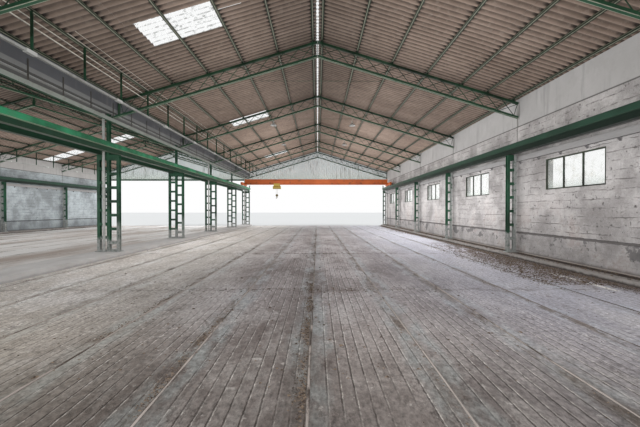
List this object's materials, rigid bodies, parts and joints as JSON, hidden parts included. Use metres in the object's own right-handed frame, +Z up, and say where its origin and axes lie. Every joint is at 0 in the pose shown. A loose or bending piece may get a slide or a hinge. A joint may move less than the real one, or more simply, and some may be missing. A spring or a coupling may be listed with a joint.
{
  "type": "two-nave factory hall",
  "caption": "Empty two-nave factory hall with lattice rafters, battened columns, crane beams and a travelling crane.",
  "frame": {"origin": "ground level, at the middle of the valley line between the two naves", "axes": "+X across the naves towards the wall with windows, +Y along the hall, +Z up"},
  "size_m": [26.3872, 32.12, 6.953],
  "materials": {
    "floor": "worn grey-brown concrete",
    "dado": "whitewashed concrete, stained",
    "wall": "whitewashed blockwork, stained",
    "ledge": "grey concrete",
    "green_paint": "dark green gloss, worn",
    "roof_sheet": "weathered fibre cement",
    "clear_sheet": "clouded translucent sheet",
    "glass": "clear, dusty",
    "grey_steel": "grey paint, dull",
    "pipe_steel": "pale grey paint",
    "white_paint": "off-white paint",
    "crane_paint": "orange-red paint, rusty",
    "hoist_paint": "dull yellow paint"
  },
  "bodies": {
    "building": {"floor_slab": "floor", "wall_kerbs": "floor", "valley_kerb": "floor", "right_dado": "dado", "right_wall": "wall", "right_upper_wall": "wall", "window_frames": "green_paint", "window_glass": "glass", "left_dado": "dado", "left_wall": "wall", "left_upper_wall": "wall", "wall_ledges": "ledge", "right_columns": "green_paint", "valley_columns": "green_paint", "valley_posts": "green_paint", "left_columns": "green_paint", "right_crane_beams": "green_paint", "left_crane_beams": "green_paint", "right_purlins": "green_paint", "left_purlins": "green_paint", "right_roof_wall_side": "roof_sheet", "right_roof_valley_side": "roof_sheet", "left_roof_valley_side": "roof_sheet", "left_roof_wall_side": "roof_sheet", "skylights": "clear_sheet", "ridge_caps": "clear_sheet", "valley_gutter": "grey_steel", "valley_girder": "pipe_steel", "rain_pipes": "pipe_steel", "cable_trays": "white_paint", "near_gables": "clear_sheet", "far_gables": "clear_sheet", "gable_lintels": "green_paint", "rafters_1": "green_paint", "rafters_2": "green_paint", "rafters_3": "green_paint", "rafters_4": "green_paint", "rafters_5": "green_paint", "rafters_6": "green_paint", "rafters_7": "green_paint"},
    "crane": {"crane_girder": "crane_paint", "crane_carriages": "crane_paint"},
    "trolley": {"trolley": "hoist_paint", "hook_block": "hoist_paint"}
  },
  "joints": [
    {"name": "crane_travel", "type": "slide", "parent": "building", "child": "crane", "axis": [0, 1, 0], "range_m": [-28.2, 1]},
    {"name": "trolley_travel", "type": "slide", "parent": "crane", "child": "trolley", "axis": [1, 0, 0], "range_m": [-2.2, 8.8]}
  ]
}
